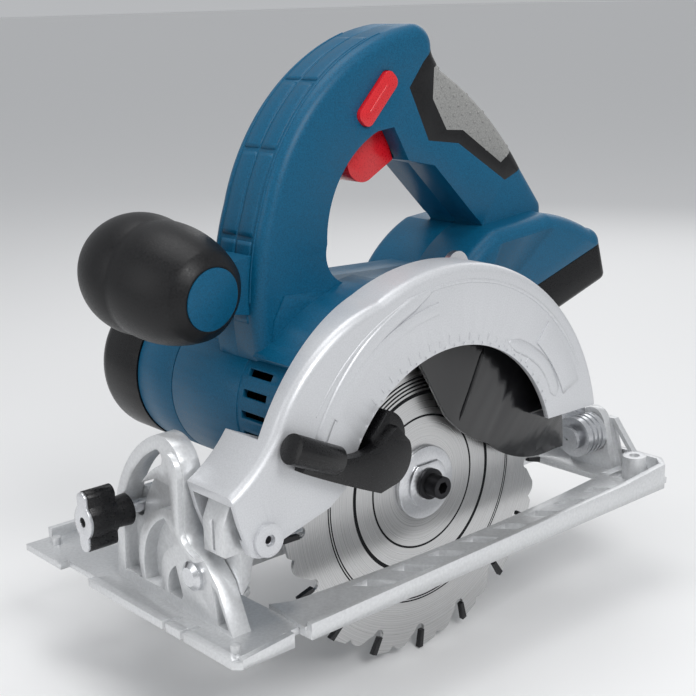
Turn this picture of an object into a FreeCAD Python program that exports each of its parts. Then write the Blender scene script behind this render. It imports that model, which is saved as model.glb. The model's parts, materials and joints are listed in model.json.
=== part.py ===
"""Cordless circular saw for a 165 mm blade, modelled piece by piece in millimetres.

Frame: origin at the middle of the sole (the underside of the base plate), +X forward in the
cutting direction, +Y towards the blade side, +Z up.  The saw stands at full cutting depth and
0 degrees of bevel, with the lower guard swung back and open.
"""
import FreeCAD, Part
import math
import os

V = FreeCAD.Vector
X_AXIS, Y_AXIS, Z_AXIS = V(1, 0, 0), V(0, 1, 0), V(0, 0, 1)

# ---- base plate ------------------------------------------------------------------------------
BASE_HALF_LENGTH = 140.0
BASE_HALF_WIDTH = 81.5
PLATE = 3.0                       # thickness of the cast shoe
RIM = 3.0                         # thickness of its upright rims
SIDE_RIM_TOP = 8.0                # rim on the motor side
REAR_RIM_TOP = 13.0
STRIP_TOP = 5.0                   # raised strip between the blade slot and the blade-side edge

# ---- blade and arbor -------------------------------------------------------------------------
BLADE_R = 82.5                    # 165 mm blade
BLADE_BODY = 1.6
KERF = 2.4
TEETH = 17
CUT_DEPTH = 51.0
ARBOR_X = 4.75
ARBOR_Z = BLADE_R - CUT_DEPTH
BLADE_Y = 45.0
FLANGE_R = 17.1
SPINDLE_R = 6.0
BLADE_HUB_R = 5.0                 # spigot of the spindle that the blade sits on
BLADE_BOLT_R = 2.5

# ---- pivots ----------------------------------------------------------------------------------
BEVEL_Y, BEVEL_Z = 38.0, 22.0     # bevel axis, along X
DEPTH_X, DEPTH_Z = 111.0, 41.0    # depth axis, along Y
DEPTH_TRAVEL = 28.0               # degrees from full depth to none
BEVEL_TRAVEL = 45.0
BEVEL_PIN_R = 4.0
DEPTH_PIN_R = 2.7
RUNNING = 0.06                    # radial clearance of a pin in its hole
GAP = 0.4                         # clearance between pieces that move past each other

# ---- bevel quadrant at the front of the base -------------------------------------------------
QUADRANT_R = 59.0
QUADRANT_BACK, QUADRANT_FRONT = 118.5, 127.5
SLOT_R = 50.0                     # radius of the bolt's curved slot
BOLT_R = 3.0
BOLT_ANGLE = 162.0                # where the bolt stands in the slot at 0 degrees of bevel
KNOB_REACH = 21.0                 # from the quadrant's face to the wing knob's end plate

# ---- guards ----------------------------------------------------------------------------------
GUARD_BACK, GUARD_FACE = 36.0, 66.0
GUARD_WALL = 2.5
GUARD_R = 103.0
GUARD_BACK_R = 93.5               # the guard's rim narrows to this radius at its back
TAPER_DEPTH = 10.5                # over this depth
WINDOW_R = 67.0
LOWER_IN, LOWER_OUT = 39.0, 54.5  # the lower guard's two cheeks, across the blade
LOWER_R = 89.0
LOWER_WALL = 2.0
NOSE_R = 22.5                     # hub on the gear housing that the lower guard turns on
GUARD_SCREW_R = 2.0

# ---- motor and gear train --------------------------------------------------------------------
MOTOR_X, MOTOR_Z = 39.0, 70.5
DRUM_R = 37.2
DRUM_WALL = 2.6
DRUM_FRONT, DRUM_SHOULDER = 31.0, 2.0
COLLAR_SEAM, CAP_SEAM, CAP_END = -48.0, -77.0, -114.0
MODULE = 1.0
PINION_T, WHEEL_T = 14, 32        # motor pinion and first wheel
LAY_PINION_T, SPINDLE_WHEEL_T = 22, 48
STAGE_1 = (17.0, 23.0)            # the two gear planes, along Y
STAGE_2 = (25.0, 33.0)

# ---- handle and battery ----------------------------------------------------------------------
SEAM_Y = -5.0                     # the housing shells meet here
SHELL_SCREW_R = 1.8
HANDLE_HALF = 18.0
FOOT_HALF = 35.0
FOOT_Y = -7.0
FOOT_TILT = 16.1                  # the battery slides out rearwards and upwards at this angle
FOOT_X, FOOT_Z = -145.0, 119.0    # rear end of the seam between foot and battery
BATTERY_LENGTH, BATTERY_DEPTH = 102.0, 20.0

# ---- depth guide -----------------------------------------------------------------------------
GUIDE_R = 165.0                   # radius of the depth guide about the depth axis
GUIDE_IN, GUIDE_OUT = 31.0, 34.0
CLAMP_ANGLE = 1.0                 # clamp bolt above the level of the depth axis, in degrees


# ---- front handle ----------------------------------------------------------------------------
AUX_X, AUX_Y, AUX_Z = 97.0, 18.0, 128.0      # centre of its end disc
AUX_TURN = 5.0                               # the handle swings forward by this angle
AUX_RISE = 6.5                               # and rises away from its disc by this one
AUX_LENGTH = 77.0
AUX_BOLT_R = 3.0


# ---- building blocks -------------------------------------------------------------------------
def box(low, high):
    size = V(*high) - V(*low)
    return Part.makeBox(size.x, size.y, size.z, V(*low))


def rod(start, axis, radius, length):
    return Part.makeCylinder(radius, length, V(*start), axis)


def ring(start, axis, outer, inner, length):
    return rod(start, axis, outer, length).cut(rod(start, axis, inner, length))


def joined(first, *others):
    return first.fuse(list(others)).removeSplitter() if others else first


def wire(steps, place):
    """Closed wire.  A step is a corner (a, b), or ((a, b), (a, b)): an arc's middle and its end."""
    first = steps[0]
    here = place(*first)
    edges = []
    for step in steps[1:] + [first]:
        if isinstance(step[0], tuple):
            middle, end = place(*step[0]), place(*step[1])
            edges.append(Part.Arc(here, middle, end).toShape())
        else:
            end = place(*step)
            if (end - here).Length < 1e-6:
                continue
            edges.append(Part.LineSegment(here, end).toShape())
        here = end
    return Part.Wire(edges)


def slab_x(steps, low, high):
    face = Part.Face(wire(steps, lambda y, z: V(low, y, z)))
    return face.extrude(V(high - low, 0, 0))


def slab_y(steps, low, high):
    face = Part.Face(wire(steps, lambda x, z: V(x, low, z)))
    return face.extrude(V(0, high - low, 0))


def slab_z(steps, low, high):
    face = Part.Face(wire(steps, lambda x, y: V(x, y, low)))
    return face.extrude(V(0, 0, high - low))


def polar(centre, radius, degrees):
    turn = math.radians(degrees)
    return (centre[0] + radius * math.cos(turn), centre[1] + radius * math.sin(turn))


def sector(centre, inner, outer, start, stop):
    """Steps of a ring sector about centre, between two angles in degrees."""
    half = (start + stop) / 2
    return [polar(centre, inner, start), polar(centre, outer, start),
            (polar(centre, outer, half), polar(centre, outer, stop)),
            polar(centre, inner, stop),
            (polar(centre, inner, half), polar(centre, inner, start))]


def arc_slot(centre, radius, half_width, start, stop):
    """Steps of a curved slot with round ends."""
    inner, outer = radius - half_width, radius + half_width
    half = (start + stop) / 2
    tip = math.degrees(half_width / radius)
    return [polar(centre, inner, start),
            (polar(centre, radius, start - tip), polar(centre, outer, start)),
            (polar(centre, outer, half), polar(centre, outer, stop)),
            (polar(centre, radius, stop + tip), polar(centre, inner, stop)),
            (polar(centre, inner, half), polar(centre, inner, start))]


def edges_where(shape, test):
    return [edge for edge in shape.Edges if test(edge)]


def flat_at(edge, axis, value):
    """True when the whole edge lies in the plane axis = value."""
    box_of = edge.BoundBox
    low, high = getattr(box_of, axis + "Min"), getattr(box_of, axis + "Max")
    return abs(low - value) < 1e-4 and abs(high - value) < 1e-4


def softened(shape, corner, rim, low, high):
    """Round a slab made along Y: first its corners, then both of its rims."""
    corners = edges_where(shape, lambda edge: edge.BoundBox.XLength + edge.BoundBox.ZLength < 1e-3)
    shape = shape.makeFillet(corner, corners)
    rims = edges_where(shape, lambda edge: flat_at(edge, "Y", low) or flat_at(edge, "Y", high))
    return shape.makeFillet(rim, rims)


ARBOR = (ARBOR_X, ARBOR_Z)
MOTOR = (MOTOR_X, MOTOR_Z)
DEPTH = (DEPTH_X, DEPTH_Z)
BEVEL = (BEVEL_Y, BEVEL_Z)


def lay_shaft_centre():
    """Where the lay shaft stands so that both gear pairs are in mesh."""
    to_motor = MODULE * (PINION_T + WHEEL_T) / 2
    to_arbor = MODULE * (LAY_PINION_T + SPINDLE_WHEEL_T) / 2
    dx, dz = MOTOR_X - ARBOR_X, MOTOR_Z - ARBOR_Z
    span = math.hypot(dx, dz)
    along = (span ** 2 + to_arbor ** 2 - to_motor ** 2) / (2 * span)
    aside = math.sqrt(to_arbor ** 2 - along ** 2)
    return (ARBOR_X + (dx * along - dz * aside) / span, ARBOR_Z + (dz * along + dx * aside) / span)


LAY = lay_shaft_centre()


# ---- base body -------------------------------------------------------------------------------
def blade_slot(low, high):
    """Opening in the shoe for the blade and the lower guard, wide enough for full bevel."""
    return slab_z([(-118, 8), (-118, 54), ((-10, 60.5), (92, 56.5)), (101, 52), (101, 34),
                   (94, 30), (94, 8)], low, high)


def quadrant():
    """Arched casting at the front with the curved bolt slot, pockets and a side gusset."""
    outer = [(-21, 0), polar(BEVEL, QUADRANT_R, 188),
             (polar(BEVEL, QUADRANT_R, 150), polar(BEVEL, QUADRANT_R, 112)),
             ((28.5, 74), (34, 64)), (33, 44), ((34.4, 37), (40.5, 32.6)), (45, 31), (54, 22), (64, 0)]
    plate = slab_x(outer, QUADRANT_BACK, QUADRANT_FRONT)
    slot_stop = BOLT_ANGLE - BEVEL_TRAVEL - 1
    slot = slab_x(arc_slot(BEVEL, SLOT_R, BOLT_R + GAP, slot_stop, BOLT_ANGLE + 2), 100, 140)
    pocket_floor = QUADRANT_BACK + 2.5
    arch_1 = slab_x([(-14.5, 8), (-13.5, 24), ((-4, 47), (14, 57)), (24, 57), (24, 46), ((4, 36), (-1.5, 8))],
                    pocket_floor, 140)
    arch_2 = slab_x([(1.5, 8), ((6, 31), (18, 41)), ((23, 36), (24, 30)), ((18, 26), (15.5, 8))],
                    pocket_floor, 140)
    arch_3 = slab_x([(18.5, 8), ((20, 17), (25, 22)), (29, 10), (28, 8)], pocket_floor, 140)
    gusset = slab_x([(49.5, 22), (53, 19), (60, 5), (53, 5)], pocket_floor + 1.5, 140)
    band = slab_x([(27, 72), ((31.6, 69), (33.6, 62)), (32.6, 44), ((34.0, 36.6), (40.2, 32.2)),
                   (45, 30.4), (42, 29.4), ((32.5, 34), (28, 46)), (27.6, 60)],
                  QUADRANT_FRONT - 0.5, QUADRANT_FRONT + 2.5)
    brace = slab_y([(QUADRANT_BACK + 1, 2), (QUADRANT_BACK + 1, 30), (QUADRANT_BACK - 14, 2)], -20.5, -16.5)
    shape = joined(plate, brace, band)
    for opening in (slot, arch_1, arch_2, arch_3, gusset):
        shape = shape.cut(opening)
    return shape


def tower():
    """Rear pivot tower with two side ribs that spread over the shoe."""
    post = slab_x([(24, 2), (30, BEVEL_Z + 4), ((BEVEL_Y, BEVEL_Z + 13), (46, BEVEL_Z + 4)), (52, 2)],
                  -133.5, -128.5)
    long_ribs = [slab_x([(a, 2), (a + 3, 2), (b + 3, 30), (b, 30)], -136.5, -133)
                 for a, b in ((52, 44), (68, 46))]
    return joined(post, *long_ribs)


def chevron(x):
    """One shallow V pocket of the row that decorates the blade-side strip."""
    wall = 2.2
    return slab_z([(x, 63), (x + 9, 63), (x - 1, 74), (x - 10, 74)], PLATE - wall / 2, 20)


def base_plate():
    length, width = BASE_HALF_LENGTH, BASE_HALF_WIDTH
    corner = 7.0
    plate = slab_z([(-length, -width), (length, -width), (length, width - 3), (length - 3, width),
                    (corner - length, width), (-length, width - corner)], 0, PLATE)
    side_rim = box((-length, -width, 0), (length - 12, -width + RIM, SIDE_RIM_TOP))
    rear_rim = box((-length, -width, 0), (-length + RIM, width - corner, REAR_RIM_TOP))
    strip_rim = slab_y([(length - 3, 0), (length - 3, 4), (104, 7), (-100, 10.5),
                        (corner - length, REAR_RIM_TOP), (corner - length, 0)], width - RIM, width)
    bend = slab_z([(corner - length, width), (-length, width - corner), (RIM - length, width - corner - 1),
                   (corner - length + 1, width - RIM)], 0, REAR_RIM_TOP)
    strip = slab_z([(-118, 53), ((-10, 59.5), (92, 55.5)), (101, 52), (101, 60), (104, width - 1),
                    (-136, width - 1), (-136, 53)], PLATE - 1, STRIP_TOP)
    front_lip = box((length - 4, -width + 26, 0), (length, width - 3, PLATE + 0.6))
    slot_rib = slab_z([(-121, 5), (-121, 9), (97, 9), (97, 5)], PLATE - 1, 8)
    floor_ribs = [box((x, -width + 2, 2), (x + 2.2, 6, 6)) for x in (-95, -45, 60)]
    boss = rod((-124, 69, 2), Z_AXIS, 6.0, 15)
    studs = [rod((x, y, 2), Z_AXIS, 2.2, 4.5) for x, y in ((129.5, -71.5), (134, 73))]
    shape = joined(plate, side_rim, rear_rim, strip_rim, bend, strip, front_lip, slot_rib, *floor_ribs,
                   boss, *studs, quadrant(), tower())
    shape = shape.cut(blade_slot(-1, 4 * PLATE))
    shape = shape.cut(rod((-124, 69, 5), Z_AXIS, 2.6, 20))
    shape = shape.cut(slab_z(arc_slot((-124, 69 + 30), 30 + 9, 2.4, 262, 278), -1, 20))
    for x in (-98, -76, -54, -32, -10, 12, 34, 56):
        shape = shape.cut(chevron(x))
    # slide way of the parallel guide, across the front of the shoe
    shape = shape.cut(box((102, -width - 1, -1), (112, -width + 30, 3.2)))
    shape = shape.cut(box((102.6, width - 8, -1), (111.4, width + 1, 3.2)))
    shape = shape.cut(box((102.6, width - RIM, -1), (111.4, width + 1, SIDE_RIM_TOP)))
    for y in (BLADE_Y, BLADE_Y - 12.5):
        shape = shape.cut(box((length - 9, y - 1.2, -1), (length + 1, y + 1.2, 20)))
    # wide shallow notch in the front edge, on the motor side
    shape = shape.cut(box((length - 4.5, -50, -1), (length + 1, -26, 2 * PLATE)))
    for start in (QUADRANT_BACK - 6, -140):
        shape = shape.cut(rod((start, BEVEL_Y, BEVEL_Z), X_AXIS, BEVEL_PIN_R, 22))
    return shape


def bevel_pins():
    """Front rivet and rear pin on the bevel axis, fixed in the shoe."""
    front = joined(rod((108.5, BEVEL_Y, BEVEL_Z), X_AXIS, BEVEL_PIN_R, QUADRANT_FRONT - 108.5),
                   rod((QUADRANT_FRONT, BEVEL_Y, BEVEL_Z), X_AXIS, 6.2, 1.4),
                   Part.makeCone(6.2, 4.0, 1.6, V(QUADRANT_FRONT + 1.4, BEVEL_Y, BEVEL_Z), X_AXIS))
    rear = joined(rod((-133.5, BEVEL_Y, BEVEL_Z), X_AXIS, BEVEL_PIN_R, 23.5),
                  rod((-135.5, BEVEL_Y, BEVEL_Z), X_AXIS, 6.6, 2.0),
                  ring((-110, BEVEL_Y, BEVEL_Z), X_AXIS, 6.6, 0.5, 2.0))
    return Part.makeCompound([front, rear])


# ---- tilt frame body: everything that tilts but doesn't change depth ---------------------------
def bevel_bolt_centre():
    return polar(BEVEL, SLOT_R, BOLT_ANGLE)


def tilt_bracket():
    """Front bracket: a plate behind the quadrant and a tongue that carries the depth pin."""
    back, front = 108.8, QUADRANT_BACK - GAP
    bolt = bevel_bolt_centre()
    bolt_end = rod((front - 5, bolt[0], bolt[1]), X_AXIS, 8.0, 5)
    web = slab_x([(bolt[0], bolt[1] - 7), (bolt[0], bolt[1] + 7), (24, 34), (33, 34), (35, 30.6), (46, 30.6),
                  (52, 26), (46, 12), (30, 12), (14, 20)], front - 5, front)
    hub = rod((back, BEVEL_Y, BEVEL_Z), X_AXIS, 9.0, front - back)
    tongue = slab_y([(front, 16.5), (front - 4, 21), (front - 6, 30), (104, 36), ((105, 47), (112, 49)),
                     (116, 56), (122, 56), (125.5, 48), (125.5, 34), (119.5, 30.5)], 43.5, 57.5)
    groove = box((124.5, 49.4, 36), (130, 51.0, 49))
    shape = joined(bolt_end, web, hub, tongue)
    keep_off = box((QUADRANT_BACK - GAP, -60, -5), (140, 90, 34.6))
    shape = shape.cut(keep_off).cut(groove)
    shape = shape.cut(rod((90, BEVEL_Y, BEVEL_Z), X_AXIS, BEVEL_PIN_R + RUNNING, 60))
    shape = shape.cut(rod((DEPTH_X, 30, DEPTH_Z), Y_AXIS, DEPTH_PIN_R, 50))
    return shape.cut(rod((90, bolt[0], bolt[1]), X_AXIS, BOLT_R, 60))


def bevel_bolt():
    """Carriage bolt through the bracket and the quadrant's slot."""
    y, z = bevel_bolt_centre()
    shank = rod((QUADRANT_BACK - GAP - 7.0, y, z), X_AXIS, BOLT_R, 31)
    head = rod((QUADRANT_BACK - GAP - 7.0, y, z), X_AXIS, 6.5, 2.0)
    return joined(shank, head)


def depth_pin():
    """Hollow pin on the depth axis."""
    return ring((DEPTH_X, 38.5, DEPTH_Z), Y_AXIS, DEPTH_PIN_R, DEPTH_PIN_R - 1.0, 28.0)


def rear_bracket():
    """Rear bracket on the bevel axis that carries the depth guide."""
    front, back = -113.0, -127.5
    hub = rod((back, BEVEL_Y, BEVEL_Z), X_AXIS, 10.5, front - back)
    grooves = [ring((back + offset, BEVEL_Y, BEVEL_Z), X_AXIS, 12, 9.6, 1.4) for offset in (3.0, 6.4, 9.8)]
    lug = box((back, GUIDE_OUT - 9, BEVEL_Z + 2), (front, GUIDE_IN, BEVEL_Z + 22))
    shape = joined(hub, lug)
    for groove in grooves:
        shape = shape.cut(groove.common(box((-200, 31, 0), (0, 80, BEVEL_Z + 20))))
    return shape.cut(rod((-200, BEVEL_Y, BEVEL_Z), X_AXIS, BEVEL_PIN_R + RUNNING, 120))


def depth_guide():
    """Curved steel bar with the clamp's slot, centred on the depth axis."""
    bar = slab_y(arc_slot(DEPTH, GUIDE_R, 7.0, 180 - 30.5, 181), GUIDE_IN, GUIDE_OUT)
    stem = slab_y([(-50, 34), (-57, 50), (-100, 46), (-127.5, 44), (-127.5, 26), (-113, 26), (-98, 30)],
                  GUIDE_IN, GUIDE_OUT)
    start = 180 - CLAMP_ANGLE - DEPTH_TRAVEL - 1
    slot = slab_y(arc_slot(DEPTH, GUIDE_R, BOLT_R + 0.3, start, 180 - CLAMP_ANGLE + 0.6), 20, 40)
    return joined(bar, stem).cut(slot).cut(rod((-200, BEVEL_Y, BEVEL_Z), X_AXIS, 10.5, 120))


def wing_outline(half_width, half_height):
    """Round-ended upright outline of the knob's wings, with a bulge at the middle."""
    y, z = bevel_bolt_centre()
    bulge = 6.6
    straight = half_height - 3.0
    left, right = y - half_width, y + half_width
    return [(left, z - straight), ((y, z - half_height), (right, z - straight)),
            (right, z - bulge), ((y + bulge, z), (right, z + bulge)),
            (right, z + straight), ((y, z + half_height), (left, z + straight)),
            (left, z + bulge), ((y - bulge, z), (left, z - bulge))]


def wing_knob():
    """Black wing knob that clamps the bevel."""
    y, z = bevel_bolt_centre()
    start = QUADRANT_FRONT + GAP
    hub = Part.makeCone(7.0, 6.4, 9.0, V(start, y, z), X_AXIS)
    paddle = slab_x(wing_outline(3.9, 13.5), start + 7.5, start + KNOB_REACH - 0.8)
    knob = joined(hub, paddle)
    return knob.cut(rod((start - 1, y, z), X_AXIS, BOLT_R + RUNNING, KNOB_REACH - 4))


def knob_disc():
    """Thin grey plate on the outer end of the wing knob."""
    y, z = bevel_bolt_centre()
    end = QUADRANT_FRONT + GAP + KNOB_REACH
    plate = slab_x(wing_outline(3.4, 13.2), end - 0.8, end + 0.6)
    return plate.cut(rod((end - 2, y, z), X_AXIS, 2.2, 4))


# ---- saw body --------------------------------------------------------------------------------
def clamp_centre():
    return polar(DEPTH, GUIDE_R, 180 - CLAMP_ANGLE)


def guard_outline(inset, arm_inset):
    """Side outline of the upper guard: a round hood that runs forward into the pivot arm."""
    r = GUARD_R - inset
    return [polar(ARBOR, r, 169.5 - inset / 4), (polar(ARBOR, r, 125), polar(ARBOR, r, 66)),
            ((82 - arm_inset * 0.7, 110 - arm_inset * 0.7), (104 - arm_inset * 0.7, 83 - arm_inset * 0.7)),
            ((112 - arm_inset * 0.7, 73 - arm_inset), (127 + inset, 62 - arm_inset)),
            (124 + inset, 50), (119 - arm_inset / 3, 36 + arm_inset / 2),
            ((111, 34.1 + arm_inset), (105, 38 + arm_inset)), (78, 45 + arm_inset)]


def back_taper(inset):
    """What the guard's narrowing back edge takes off the hood, leaving the pivot arm alone."""
    growth = (GUARD_R - GUARD_BACK_R) / TAPER_DEPTH
    depth = GUARD_FACE - GUARD_BACK
    low_r = GUARD_BACK_R - inset
    cone = Part.makeCone(low_r, low_r + growth * depth, depth, V(ARBOR_X, GUARD_BACK, ARBOR_Z), Y_AXIS)
    around = slab_y(sector(ARBOR, WINDOW_R + 10, GUARD_R + 12, 25, 172), GUARD_BACK, GUARD_FACE)
    return around.cut(cone)


def upper_guard():
    """Die-cast upper guard with its window, hollow inside, and the forward pivot arm."""
    lower_end = (polar(ARBOR, WINDOW_R, 17), polar(ARBOR, WINDOW_R, 163))
    solid = slab_y(guard_outline(0, 0) + [lower_end[0], (polar(ARBOR, WINDOW_R, 90), lower_end[1])],
                   GUARD_BACK, GUARD_FACE)
    rounded = [edge for edge in solid.Edges if flat_at(edge, "Y", GUARD_FACE)
               and edge.CenterOfMass.sub(V(ARBOR_X, GUARD_FACE, ARBOR_Z)).Length > WINDOW_R + 12
               and edge.CenterOfMass.z > 60 and edge.CenterOfMass.x > -60]
    solid = solid.makeFillet(4.0, rounded).cut(back_taper(0.0))
    inner = slab_y(guard_outline(4.5, 5.0) + [lower_end[0], (polar(ARBOR, WINDOW_R - 9, 90), lower_end[1])],
                   GUARD_BACK + GUARD_WALL, GUARD_FACE - GUARD_WALL)
    shell = solid.cut(inner.cut(back_taper(GUARD_WALL + 1.0)))
    back = rod((ARBOR_X, GUARD_BACK, ARBOR_Z), Y_AXIS, 80, GUARD_WALL)
    back = back.cut(box((-200, 0, -200), (200, 90, 34)))
    shell = joined(shell, back)
    # the arm is open below and in front, like an upturned channel
    mouth = slab_y([(98, 20), (98, 52), ((106, 56), (117, 56)), (140, 47), (140, 20)],
                   GUARD_BACK + GUARD_WALL + 2, GUARD_FACE - 4.5)
    shell = shell.cut(mouth)
    shell = joined(shell, rod((DEPTH_X, GUARD_FACE - 4.5, DEPTH_Z), Y_AXIS, 6.9, 6.5))
    for steps in (sector(ARBOR, 84, 89, 36, 84), sector(ARBOR, 80, 92, 133, 158)):
        ridge = slab_y(steps, GUARD_FACE - 0.5, GUARD_FACE + 0.7)
        shell = joined(shell, ridge)
    for degrees in range(20, 160, 5):
        x, z = polar(ARBOR, WINDOW_R + 1.0, degrees)
        notch = rod((x, GUARD_FACE - 0.4, z), Y_AXIS, 0.7, 2)
        shell = shell.cut(notch)
    lower_room = LOWER_OUT - LOWER_IN + 2 * GAP
    shell = shell.cut(rod((ARBOR_X, LOWER_IN - GAP, ARBOR_Z), Y_AXIS, LOWER_R + 1.5, lower_room))
    shell = shell.cut(rod((ARBOR_X, 30, ARBOR_Z), Y_AXIS, NOSE_R + 0.3, 12))
    shell = shell.cut(rod((DEPTH_X, 30, DEPTH_Z), Y_AXIS, DEPTH_PIN_R + RUNNING, 36.55))
    # the hollow pin shows through a smaller hole in the boss
    shell = shell.cut(rod((DEPTH_X, GUARD_FACE, DEPTH_Z), Y_AXIS, DEPTH_PIN_R - 0.2, 5))
    clamp = clamp_centre()
    shell = shell.cut(rod((clamp[0], 30, clamp[1]), Y_AXIS, BOLT_R, 9))
    for x, z in guard_screw_places():
        shell = shell.cut(rod((x, 30, z), Y_AXIS, GUARD_SCREW_R, 10))
    return shell


def guard_screw_places():
    return [polar(ARBOR, 30, degrees) for degrees in (-15, 140, 205)]


def guard_screws():
    """Three screws that hold the guard to the gear housing."""
    screws = []
    for x, z in guard_screw_places():
        screws.append(rod((x, GUARD_BACK - 8, z), Y_AXIS, GUARD_SCREW_R, 8 + GUARD_WALL))
    return Part.makeCompound(screws)


def gear_case(grow, low, high):
    """Slab that wraps the three shafts, grown outwards by grow."""
    lobes = [(ARBOR, 27.0), (LAY, 20.5), (MOTOR, 21.0)]
    lobes += [(place, 6.0) for place in guard_screw_places()]
    parts = [rod((centre[0], low, centre[1]), Y_AXIS, radius + grow, high - low) for centre, radius in lobes]
    web = slab_y([polar(ARBOR, 26 + grow, 150), polar(LAY, 20 + grow, 160), polar(LAY, 20 + grow, 95),
                  polar(MOTOR, 20.5 + grow, 110), polar(MOTOR, 20.5 + grow, -40),
                  polar(ARBOR, 26 + grow, -10)], low, high)
    return joined(web, *parts)


def gear_housing():
    """Cast gear case with bearing seats and the round nose for the lower guard."""
    case = gear_case(0, 15.0, GUARD_BACK)
    room_1 = joined(rod((LAY[0], 16.5, LAY[1]), Y_AXIS, 17.5, 7.5),
                    rod((MOTOR_X, 14, MOTOR_Z), Y_AXIS, 12.0, 10))
    room_2 = joined(rod((ARBOR_X, 24, ARBOR_Z), Y_AXIS, 25.4, 10),
                    rod((LAY[0], 24, LAY[1]), Y_AXIS, 12.6, 10))
    nose = rod((ARBOR_X, GUARD_BACK, ARBOR_Z), Y_AXIS, NOSE_R, 5.2)
    shape = joined(case, nose).cut(room_1).cut(room_2)
    shape = shape.cut(rod((ARBOR_X, 33, ARBOR_Z), Y_AXIS, 13.0, 7.0))
    shape = shape.cut(rod((ARBOR_X, 39, ARBOR_Z), Y_AXIS, 9.0, 5.0))
    shape = shape.cut(rod((ARBOR_X, 16.5, ARBOR_Z), Y_AXIS, 7.5, 8.0))
    shape = shape.cut(rod((LAY[0], 16, LAY[1]), Y_AXIS, 3.0 + RUNNING, 19))
    for x, z in guard_screw_places():
        shape = shape.cut(rod((x, GUARD_BACK - 8, z), Y_AXIS, GUARD_SCREW_R, 9))
    x, y, z = lock_place()
    return shape.cut(rod((x + 4.0, y, z), lock_axis(), 3.0 + RUNNING, 30))


def lock_place():
    """Outer end of the spindle lock's bore, behind the arbor."""
    return (ARBOR_X - 22.0, 20.5, ARBOR_Z)


def lock_axis():
    return V(-1, 0, 0)


def spindle_lock_button():
    """Push button behind the gear case that locks the spindle."""
    x, y, z = lock_place()
    stem = rod((x - 1.0, y, z), lock_axis(), 3.0, 14)
    head = rod((x - 11.0, y, z), lock_axis(), 6.0, 6)
    return joined(stem, head)


def drum_tube(low, high, outer, wall):
    return ring((MOTOR_X, low, MOTOR_Z), Y_AXIS, outer, outer - wall, high - low)


def motor_housing():
    """Blue barrel round the motor, with a vented skirt beside the gear case."""
    barrel = drum_tube(COLLAR_SEAM + GAP / 2, DRUM_SHOULDER, DRUM_R, DRUM_WALL)
    skirt = drum_tube(DRUM_SHOULDER, DRUM_FRONT, DRUM_R - 0.6, DRUM_WALL)
    shape = joined(barrel, skirt)
    for degrees in (31, 16, 1, -14, 150, 174, 198):
        place = polar(MOTOR, DRUM_R - 8, degrees)
        vent = box((0, DRUM_SHOULDER + 3, -1.7), (14, DRUM_SHOULDER + 19, 1.7))
        vent.rotate(V(0, 0, 0), V(0, -1, 0), degrees)
        vent.translate(V(place[0], 0, place[1]))
        shape = shape.cut(vent)
    shape = shape.cut(gear_case(0.2, 14.8, DRUM_FRONT + 1))
    return shape.cut(fan_grille_block(0.1))


def fan_grille_block(grow):
    place = polar(MOTOR, DRUM_R - 7, -52)
    block = box((-2 - grow, 13 - grow, -7 - grow), (6.6, 29 + grow, 7 + grow))
    block.rotate(V(0, 0, 0), V(0, -1, 0), -52)
    block.translate(V(place[0], 0, place[1]))
    return block


def fan_grille():
    """Ribbed black grille low on the skirt, where the cooling air leaves."""
    block = fan_grille_block(0.0).common(rod((MOTOR_X, 0, MOTOR_Z), Y_AXIS, DRUM_R - 0.2, 40))
    block = block.cut(rod((MOTOR_X, 0, MOTOR_Z), Y_AXIS, DRUM_R - 5.0, 40)).cut(gear_case(0.3, 14, 40))
    for y in (15, 18, 21, 24):
        block = block.cut(ring((MOTOR_X, y, MOTOR_Z), Y_AXIS, DRUM_R + 2, DRUM_R - 1.6, 1.5))
    return block


def motor_collar():
    """Blue collar between the barrel and the end cap, over the brushes."""
    return drum_tube(CAP_SEAM + GAP / 2, COLLAR_SEAM - GAP / 2, DRUM_R, DRUM_WALL)


def motor_cap():
    """Black rounded end cap with air slots in its end wall."""
    rounding = 10.0
    cap = rod((MOTOR_X, CAP_END, MOTOR_Z), Y_AXIS, DRUM_R + 0.6, CAP_SEAM - GAP / 2 - CAP_END)
    rim = [edge for edge in cap.Edges if flat_at(edge, "Y", CAP_END)]
    cap = cap.makeFillet(rounding, rim)
    hollow = rod((MOTOR_X, CAP_END + 4, MOTOR_Z), Y_AXIS, DRUM_R - rounding, 60)
    hollow = joined(hollow, rod((MOTOR_X, CAP_END + 13, MOTOR_Z), Y_AXIS, DRUM_R - 2.5, 60))
    cap = cap.cut(hollow)
    for rise in (-14, -7, 0, 7, 14):
        z = MOTOR_Z + rise
        cap = cap.cut(box((MOTOR_X - 15, CAP_END - 1, z - 1.2), (MOTOR_X + 15, CAP_END + 5, z + 1.2)))
    return joined(cap, ring((MOTOR_X, CAP_END + 3.5, MOTOR_Z), Y_AXIS, 10.5, 8.0, 16))


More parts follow.
